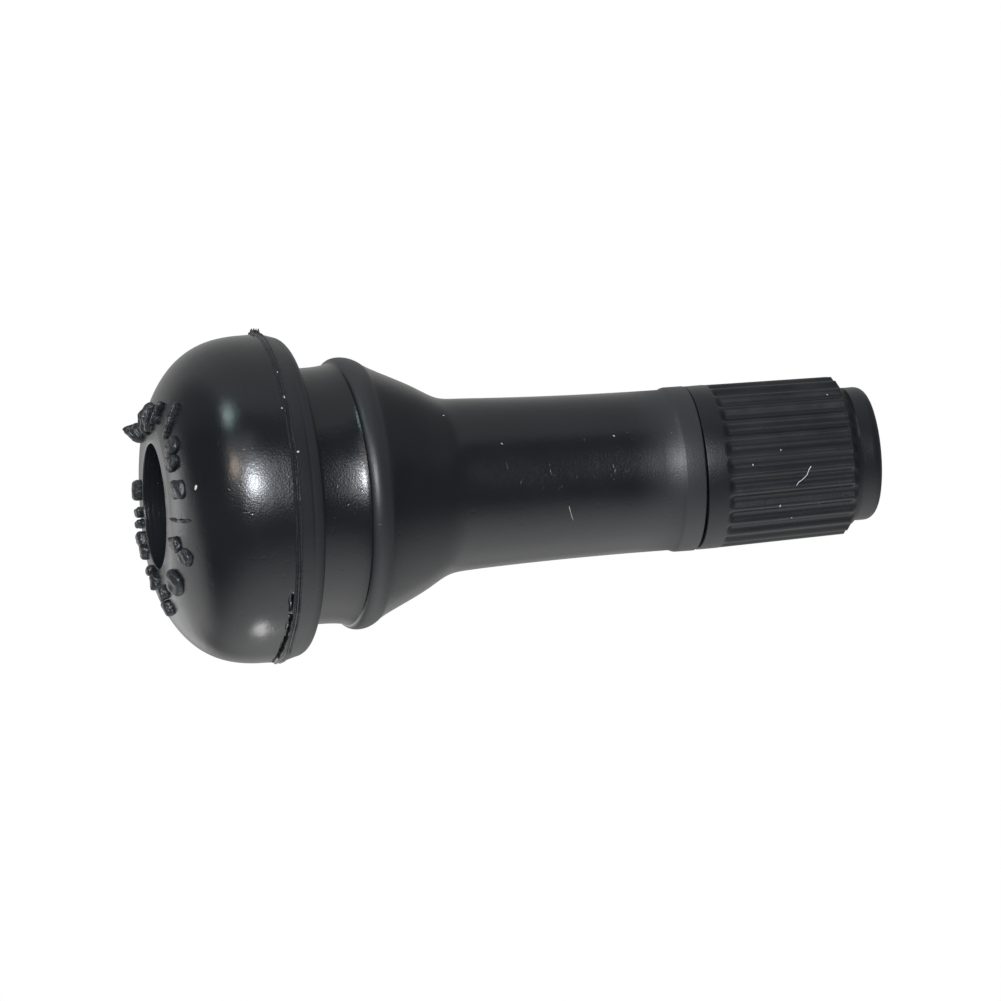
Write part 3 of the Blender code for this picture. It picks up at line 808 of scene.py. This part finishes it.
# %% Pin, cup and washer
PIN_RADIUS, PIN_HEAD_RADIUS, PIN_TOP, RIVET_TOP, SPRING_TOP = 0.4, 0.72, 39.6, 22.75, 32.64
pin_outline = [
    (0, RIVET_TOP - 0.35),
    (0.52, RIVET_TOP - 0.35, 0.08),
    (0.75, RIVET_TOP, 0.05),
    (PIN_RADIUS, RIVET_TOP),
    (PIN_RADIUS, SPRING_TOP + 0.06, 0.03),
    (0.94, SPRING_TOP + 0.06, 0.06),
    (0.94, SPRING_TOP + 0.36, 0.06),
    (PIN_RADIUS, SPRING_TOP + 0.66, 0.1),
    (PIN_RADIUS, PIN_TOP - 1.3, 0.2),
    (PIN_HEAD_RADIUS, PIN_TOP - 0.5, 0.1),
    (PIN_HEAD_RADIUS, PIN_TOP - 0.17, 0.08),
    (0.43, PIN_TOP, 0.06),
    (0, PIN_TOP),
]
cup_outline = [
    (0.48, 22.81, 0.04),
    (1.35, 22.81, 0.12),
    (1.55, 23.01, 0.06),
    (1.55, 23.96, 0.06),
    (1.35, 23.96, 0.06),
    (1.35, 23.06, 0.08),
    (0.48, 23.06, 0.04),
]
washer_outline = [(0.48, 23.12, 0.05), (1.29, 23.12, 0.08), (1.29, 24.72, 0.10), (0.48, 24.72, 0.05)]
pin_mesh = spin_round(outline_mesh(pin_outline, closed=False), 48)
finished("pressed_pin", pin_mesh, "core_pin", turned_brass, ["core_pin"])
cup_mesh = spin_round(outline_mesh(cup_outline), 64)
finished("washer_cup", cup_mesh, "core_pin", turned_brass, ["seat_cup"])
washer_mesh = spin_round(outline_mesh(washer_outline), 64)
finished("nose_washer", washer_mesh, "core_pin", seal_rubber, ["seat_washer"])

# %% [markdown]
# ## The core spring
#
# The spring is round wire, wound eight times, with its end turns close together so that they sit flat. Spin
# can also climb while it turns, so a small circle is spun round the axis three times in a row: a close turn,
# the open turns and another close turn. The spring stands on the barrel's shelf and ends under the pin's
# collar.

# %% Wind the spring
SPRING_BOTTOM, SPRING_TURNS, WIRE_RADIUS, COIL_RADIUS = 26.84, 8, 0.1, 0.8
close_rise = 2.2 * WIRE_RADIUS
open_rise = SPRING_TOP - SPRING_BOTTOM - 2 * WIRE_RADIUS - 2 * close_rise
spring_mesh = bmesh.new()
circle = bmesh.ops.create_circle(spring_mesh, segments=14, radius=WIRE_RADIUS * MM)
bmesh.ops.rotate(spring_mesh, verts=circle["verts"], matrix=Matrix.Rotation(math.pi / 2, 3, "X"))
wire_start = (COIL_RADIUS * MM, 0, (SPRING_BOTTOM + WIRE_RADIUS) * MM)
bmesh.ops.translate(spring_mesh, verts=circle["verts"], vec=wire_start)
ring = circle["verts"] + spring_mesh.edges[:]
for turns, rise in ((1, close_rise), (SPRING_TURNS - 2, open_rise), (1, close_rise)):
    steps = round(turns * 36)
    wound = bmesh.ops.spin(
        spring_mesh,
        geom=ring,
        cent=(0, 0, 0),
        axis=(0, 0, 1),
        dvec=(0, 0, rise / steps * MM),
        angle=math.tau * turns,
        steps=steps,
    )
    ring = wound["geom_last"]
bmesh.ops.holes_fill(spring_mesh, edges=[edge for edge in spring_mesh.edges if edge.is_boundary])
bmesh.ops.recalc_face_normals(spring_mesh, faces=spring_mesh.faces)
heights = [point.co.z / MM for point in spring_mesh.verts]
print("spring from", round(min(heights), 3), "to", round(max(heights), 3), "mm")

coil_data = bpy.data.meshes.new("coil_spring")
spring_mesh.to_mesh(coil_data)
spring_mesh.free()
coil_data.shade_smooth()
coil_data.set_sharp_from_angle(angle=math.radians(60))
coil_data.materials.append(spring_wire)
coil_spring = bpy.data.objects.new("coil_spring", coil_data)
bpy.context.collection.objects.link(coil_spring)
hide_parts("core_spring")
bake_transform(coil_spring)

# %% [markdown]
# ## The cap's sealing ring
#
# Inside the cap's tip sits a soft ring that the stem's mouth presses into. It doesn't turn with the cap when
# it is tight, so in the frame it slides on a body of its own.

# %% Sealing ring
ring_outline = [(2.72, 39.86, 0.12), (3.39, 39.86, 0.12), (3.39, 41.14, 0.10), (2.72, 41.14, 0.12)]
ring_mesh = spin_round(outline_mesh(ring_outline), 96)
finished("mouth_ring", ring_mesh, "cap_seal", seal_rubber, ["cap_seal"])

# %% [markdown]
# ## The dust cap
#
# The cap is moulded plastic: a plain skirt, twenty-eight finger ribs and a round tip. The mould's grooves
# run down to the skirt and end there in a round, and at the tip the ribs end in a chamfer. The cap is spun
# first, a little finer than it needs to be, and then its outer points between the ribs are pressed inwards.

# %% Sizes of the dust cap
CAP_BOTTOM, CAP_TOP = 31.76, 42.5
CAP_SKIRT_RADIUS = 4.78
CAP_RIB_LENGTH, CAP_RIB_COUNT, CAP_RIB_DEPTH, CAP_RIB_TAPER = 7.55, 28, 0.25, 0.14
CAP_SHOULDER, CAP_TIP_RADIUS, CAP_TIP_ROUND = 0.55, 3.90, 0.6
FIRST_RIB = 8.0  # degrees from the camera's side
RIB_FLANK = 0.05, 0.85  # where it starts and ends, as shares of the way from a rib to mid groove
FACETS_PER_RIB = 14
CAP_BORE_RADIUS, CAP_THREAD_CREST, SEAL_POCKET_RADIUS = 3.93, 3.56, 3.45
CAP_CEILING, SEAL_BOTTOM = 41.2, 39.86

rib_bottom = 33.0
rib_top = rib_bottom + CAP_RIB_LENGTH
tip_centre = (CAP_TIP_RADIUS - CAP_TIP_ROUND, CAP_TOP - CAP_TIP_ROUND)

# %% Outline of the dust cap
rib_rows = [7.55, 7.4, 6.5, 5.5, 4.5, 3.5, 2.5, 1.5, 0.8, *(0.04 * step for step in range(10, -1, -1))]
rib_heights = [rib_bottom + above for above in rib_rows]
cap_outside = [
    (0, CAP_TOP),
    *reversed(arc(tip_centre, CAP_TIP_ROUND, 0, 90, 8)),
    (CAP_TIP_RADIUS, rib_top + CAP_SHOULDER - 0.02, 0.25),
    *((CAP_SKIRT_RADIUS - CAP_RIB_TAPER * max(0, (z - rib_bottom) / CAP_RIB_LENGTH), z) for z in rib_heights),
    *((CAP_SKIRT_RADIUS, rib_bottom - 0.05 * step) for step in range(1, 5)),
    (CAP_SKIRT_RADIUS, CAP_BOTTOM, 0.06),
]
cap_inside = [
    (CAP_BORE_RADIUS, CAP_BOTTOM, 0.15),
    *rows(CAP_THREAD_CREST, CAP_BOTTOM + 0.55, SEAL_BOTTOM - 0.4, 14),
    (CAP_BORE_RADIUS, SEAL_BOTTOM),
    (SEAL_POCKET_RADIUS, SEAL_BOTTOM + 0.06),
    (SEAL_POCKET_RADIUS, CAP_CEILING, 0.2),
    (0, CAP_CEILING),
]
cap_mesh = spin_round(outline_mesh(cap_outside + cap_inside, closed=False), CAP_RIB_COUNT * FACETS_PER_RIB)


# %% Press the grooves in between the ribs
for point in cap_mesh.verts:
    radius, height = point.co.xy.length / MM, point.co.z / MM
    if radius < (CAP_BORE_RADIUS + CAP_SKIRT_RADIUS) / 2:
        continue
    turn = math.degrees(math.atan2(point.co.x, -point.co.y)) - FIRST_RIB
    from_rib = abs((turn * CAP_RIB_COUNT / 360 + 0.5) % 1 - 0.5) * 2
    groove = step_up(from_rib, *RIB_FLANK)
    fade = step_up(height, rib_bottom - 0.1, rib_bottom + 0.38)
    point.co.xy *= 1 - CAP_RIB_DEPTH * groove * fade / radius
cut_thread(
    cap_mesh, CAP_BOTTOM + 0.4, SEAL_BOTTOM - 0.3, CAP_PITCH, CAP_THREAD_CREST, CAP_BORE_RADIUS, phase=0.5
)

# %% [markdown]
# The cap in the photograph sits a little askew: its outside leans upwards by one degree, and its lower edge
# opens a thin wedge against the rubber's lip. The thread inside stays true to the stem.

# %% Lean the cap's outside over
CAP_LEAN, LEAN_OUTSIDE, LEAN_DROP = 0.95, 4.2, 0.045  # degrees, and the others in mm
leaning = [
    point
    for point in cap_mesh.verts
    if point.co.xy.length > LEAN_OUTSIDE * MM
    or point.co.z > CAP_CEILING * MM + 1e-5
    or point.co.z < (CAP_BOTTOM + 0.1) * MM
]
bmesh.ops.rotate(
    cap_mesh,
    cent=(-CAP_SKIRT_RADIUS * MM, 0, CAP_BOTTOM * MM),
    matrix=Matrix.Rotation(math.radians(-CAP_LEAN), 3, "Y"),
    verts=leaning,
)
bmesh.ops.translate(cap_mesh, verts=leaning, vec=(0, 0, -LEAN_DROP * MM))
ribbed_cap = finished("ribbed_cap", cap_mesh, "dust_cap", cap_plastic, ["dust_cap"])

# %% [markdown]
# ## Dust, a hair and a scratch
#
# A few pale flecks lie on the valve, a short hair lies across the cap's ribs, and the shaft has a small pale
# scratch. Blender finds the point of a piece that is nearest to each fleck's place, and the fleck is turned
# to lie flat there. The hair and the scratch are thin tubes: a circle, extruded from point to point.

# %% Where the flecks are
# angle from the camera's side, radius, height and size, in degrees and mm
FLECKS_ON_RUBBER = [
    (-6.6, 7.42, 1.16, 0.26),
    (-48.5, 9.55, 6.55, 0.15),
    (-42.2, 9.55, 6.45, 0.13),
    (-36.7, 9.55, 6.62, 0.15),
    (-32.1, 9.55, 6.36, 0.12),
    (-15.2, 9.50, 6.90, 0.17),
    (-50.1, 5.22, 16.67, 0.12),
    (-26.1, 4.88, 19.80, 0.14),
    (-27.3, 4.71, 26.49, 0.11),
]
FLECKS_ON_CAP = [
    (-8.7, 4.7, 36.24, 0.10),
    (1.1, 4.7, 34.55, 0.13),
    (33.3, 4.7, 36.12, 0.18),
    (38.6, 4.7, 38.56, 0.10),
    (45.3, 4.7, 36.93, 0.09),
    (-53.7, 4.6, 39.70, 0.10),
]
# degrees and heights along the line, its radius and its thickness
HAIR = [(4.7, 37.95), (7.5, 37.80), (11.0, 37.68), (14.0, 37.40), (16.0, 37.15), (18.1, 37.05)], 4.72, 0.045
SCRATCH = [(21.0, 23.48), (25.0, 23.57), (29.0, 23.66), (32.1, 23.75)], 4.78, 0.028


# %% Dust finish
DUST_SHADED, DUST_PALE = (0.30, 0.30, 0.29), (0.62, 0.62, 0.60)


def dust_finish(name, slot):
    dust = Finish(name, slot, (0.45, 0.45, 0.43), 0.7)
    clumps = dust.noise(6, 2)
    colour = dust.mix(clumps, DUST_SHADED, DUST_PALE)
    dust.set(**{"Base Color": colour, "Roughness": clumps * 0.2 + 0.6})
    return dust.material


# %% Flecks and hairs
layers = bpy.context.evaluated_depsgraph_get()


def lying_on(piece, angle, radius, height):
    """The nearest place on a piece, turned so that +Z stands out of its surface."""
    near = facing(angle) * radius * MM + Vector((0, 0, height * MM))
    _, place, normal, _ = piece.closest_point_on_mesh(near, depsgraph=layers)
    turn = Matrix.Rotation(math.radians(angle * 5), 4, "Z")
    return Matrix.Translation(place) @ normal.to_track_quat("Z", "Y").to_matrix().to_4x4() @ turn


def fleck(size, seed):
    mesh = bmesh.new()
    bmesh.ops.create_icosphere(mesh, subdivisions=2, radius=size / 2 * MM)
    bmesh.ops.scale(mesh, verts=mesh.verts, vec=(1.0, 0.65, 0.5))
    rough(mesh, size * 0.25, 1.5 / size, seed)
    return mesh


def hair(turns_and_heights, radius, thickness):
    """A thin tube through points round the axis."""
    path = [facing(turn) * radius * MM + Vector((0, 0, height * MM)) for turn, height in turns_and_heights]
    along = (path[-1] - path[0]).to_track_quat("Z", "Y").to_matrix().to_4x4()
    mesh = bmesh.new()
    start = Matrix.Translation(path[0]) @ along
    bmesh.ops.create_circle(mesh, segments=8, radius=thickness / 2 * MM, matrix=start)
    ring = mesh.edges[:]
    for here, there in zip(path, path[1:]):
        grown = bmesh.ops.extrude_edge_only(mesh, edges=ring)["geom"]
        ring = [part for part in grown if isinstance(part, bmesh.types.BMEdge)]
        ends = [part for part in grown if isinstance(part, bmesh.types.BMVert)]
        bmesh.ops.translate(mesh, verts=ends, vec=there - here)
    bmesh.ops.holes_fill(mesh, edges=[edge for edge in mesh.edges if edge.is_boundary])
    return mesh


for name, body, slot, piece, flecks, line in (
    ("rubber_dust", "stem", "body_rubber", valve_rubber, FLECKS_ON_RUBBER, SCRATCH),
    ("cap_dust", "dust_cap", "cap_plastic", ribbed_cap, FLECKS_ON_CAP, HAIR),
):
    dust_mesh = bmesh.new()
    for number, (angle, radius, height, size) in enumerate(flecks):
        join(dust_mesh, fleck(size, number), lying_on(piece, angle, radius, height))
    join(dust_mesh, hair(*line), Matrix.Identity(4))
    bmesh.ops.recalc_face_normals(dust_mesh, faces=dust_mesh.faces)
    finished(name, dust_mesh, body, dust_finish(name, slot), sharp=180)

# %% [markdown]
# ## Floor, world and lamps
#
# The valve stands on a pale floor in a white studio. Seen from below, as in the photograph, the floor would
# hide the valve, so its back side is clear. To the camera the world is plain white. To a shiny surface it is
# white behind and below the valve, like the paper that a small thing is photographed on, and darker on the
# camera's side, which is what keeps black rubber black. A few small lamps give the highlights.

# %% The floor
FLOOR_HEIGHT = -1.0
floor_mesh = bmesh.new()
bmesh.ops.create_circle(floor_mesh, cap_ends=True, segments=96, radius=6)
bmesh.ops.translate(floor_mesh, verts=floor_mesh.verts, vec=(0, 0, FLOOR_HEIGHT * MM))
floor_data = bpy.data.meshes.new("floor")
floor_mesh.to_mesh(floor_data)
floor_mesh.free()
floor = bpy.data.objects.new("floor", floor_data)
bpy.context.collection.objects.link(floor)
for ray in ("diffuse", "glossy", "transmission", "shadow"):
    setattr(floor, "visible_" + ray, False)

paper = bpy.data.materials.new("paper")
paper.use_nodes = True
tree = paper.node_tree
tree.nodes.clear()
lit = tree.nodes.new("ShaderNodeBsdfDiffuse")
lit.inputs["Color"].default_value = (0.62, 0.62, 0.62, 1)
glow = tree.nodes.new("ShaderNodeEmission")
glow.inputs["Strength"].default_value = 0.62
front = tree.nodes.new("ShaderNodeAddShader")
clear = tree.nodes.new("ShaderNodeBsdfTransparent")
side = tree.nodes.new("ShaderNodeNewGeometry")
choose = tree.nodes.new("ShaderNodeMixShader")
output = tree.nodes.new("ShaderNodeOutputMaterial")
tree.links.new(lit.outputs[0], front.inputs[0])
tree.links.new(glow.outputs[0], front.inputs[1])
tree.links.new(side.outputs["Backfacing"], choose.inputs[0])
tree.links.new(front.outputs[0], choose.inputs[1])
tree.links.new(clear.outputs[0], choose.inputs[2])
tree.links.new(choose.outputs[0], output.inputs[0])
floor_data.materials.append(paper)
print("floor at", FLOOR_HEIGHT, "mm")

# %% The world
# the side, where it begins and is full (as the cosine of the angle from it), how bright it is, and how
# much of it is hidden towards both ends of the stem
SIDES = [
    ((0.977, 0.045, 0.209), 0.36, 1.26, 1.75, 0.2),  # the white paper below the valve
    ((-0.659, 0.678, 0.326), 0.20, 0.35, 0.38, 0.7),  # a paler wall above it
    ((0.259, 0.602, -0.755), 0.80, 0.97, 1.30, 0.0),  # the paper's end, beyond the base
    ((0.25, 0.93, -0.28), 0.95, 1.0, 0.80, 0.0),  # its bright far corner
]
DARK_LEVEL, SOFT_LEVEL = 0.11, 0.5
world = bpy.data.worlds.new("studio")
bpy.context.scene.world = world
world.use_nodes = True
sky = world.node_tree
background = sky.nodes["Background"]
background.inputs["Color"].default_value = (1, 1, 1, 1)
direction = sky.nodes.new("ShaderNodeTexCoord")


def smooth_step(value, start, full, low, high):
    """A smooth change from low to high while a value goes from start to full."""
    fade = sky.nodes.new("ShaderNodeMapRange")
    fade.interpolation_type = "SMOOTHSTEP"
    for name, number in (("From Min", start), ("From Max", full), ("To Min", low), ("To Max", high)):
        fade.inputs[name].default_value = number
    sky.links.new(value, fade.inputs["Value"])
    return fade.outputs[0]


def sum_or_product(operation, first, second):
    node = sky.nodes.new("ShaderNodeMath")
    node.operation = operation
    sky.links.new(first, node.inputs[0])
    sky.links.new(second, node.inputs[1])
    return node.outputs[0]


def side_light(others, side, start, full, level, hidden):
    """Adds one bright side of the world to the others."""
    towards = sky.nodes.new("ShaderNodeVectorMath")
    towards.operation = "DOT_PRODUCT"
    towards.inputs[1].default_value = side
    sky.links.new(direction.outputs["Generated"], towards.inputs[0])
    glow_there = smooth_step(towards.outputs["Value"], start, full, 0.0, level)
    seen_there = smooth_step(along_the_stem.outputs[0], 0.40, 0.62, 1.0, 1.0 - hidden)
    return sum_or_product("ADD", others, sum_or_product("MULTIPLY", glow_there, seen_there))


parts = sky.nodes.new("ShaderNodeSeparateXYZ")
sky.links.new(direction.outputs["Generated"], parts.inputs[0])
along_the_stem = sky.nodes.new("ShaderNodeMath")
along_the_stem.operation = "ABSOLUTE"
sky.links.new(parts.outputs["Z"], along_the_stem.inputs[0])
dark = sky.nodes.new("ShaderNodeValue")
dark.outputs[0].default_value = DARK_LEVEL
all_sides = dark.outputs[0]
for side_values in SIDES:
    all_sides = side_light(all_sides, *side_values)
rays = sky.nodes.new("ShaderNodeLightPath")
soft = sky.nodes.new("ShaderNodeMix")
soft.inputs[3].default_value = SOFT_LEVEL
seen = sky.nodes.new("ShaderNodeMix")
seen.inputs[3].default_value = 1.0
sky.links.new(rays.outputs["Is Diffuse Ray"], soft.inputs[0])
sky.links.new(all_sides, soft.inputs[2])
sky.links.new(rays.outputs["Is Camera Ray"], seen.inputs[0])
sky.links.new(soft.outputs[0], seen.inputs[2])
sky.links.new(seen.outputs[0], background.inputs["Strength"])
print("world ready")


# %% The lamps
def lamp(name, aim, towards, distance, size, level, colour=(1, 1, 1), spread=180):
    """A square lamp of size metres that looks level times as bright as white paper.

    A spread of a few degrees lights only what the lamp is aimed at. Blender makes such a lamp brighter, by
    tan(half) / (tan(half) - half), so its energy is divided by that.
    """
    light = bpy.data.lights.new(name, "AREA")
    light.size = size
    light.energy = level * math.pi * size * size
    if spread < 180:
        half = math.radians(spread / 2)
        light.spread = 2 * half
        light.energy *= (math.tan(half) - half) / math.tan(half)
    light.color = colour
    stand = bpy.data.objects.new(name, light)
    direction = Vector(towards).normalized()
    place = Matrix.Translation(Vector(aim) * MM + direction * distance)
    stand.matrix_world = place @ direction.to_track_quat("Z", "Y").to_matrix().to_4x4()
    stand.visible_camera = False
    bpy.context.collection.objects.link(stand)
    return stand


lamp("key", (0, 0, 5), (-0.19, -0.96, -0.20), 0.5, 0.095, 50, (0.90, 0.94, 1.0))
lamp("halo", (0, 0, 5), (-0.20, -0.96, -0.14), 0.5, 0.28, 4.1, (0.90, 0.94, 1.0))
lamp("window", (0, 0, 5), (-0.40, -0.80, -0.42), 0.5, 0.34, 1.0, (0.92, 0.96, 1.0))
lamp("warm", (0, 0, 5), (-0.37, -0.76, -0.54), 0.5, 0.07, 17, (1.0, 0.80, 0.64))
lamp("green", (0, 0, 5), (-0.83, -0.34, -0.44), 0.5, 0.09, 11, (0.72, 1.0, 0.93))
lamp("lower", (7.5, -5.7, 4.4), (0.966, 0.256, 0.04), 0.07, 0.0021, 400, spread=6)
lamp("base", (0, 0, 5), (-0.03, 0.60, -0.80), 0.5, 0.17, 1.5)
print("lamps ready")

# %% [markdown]
# ## The end

# %% Set the view transform and finish
bpy.context.scene.view_settings.view_transform = "Standard"
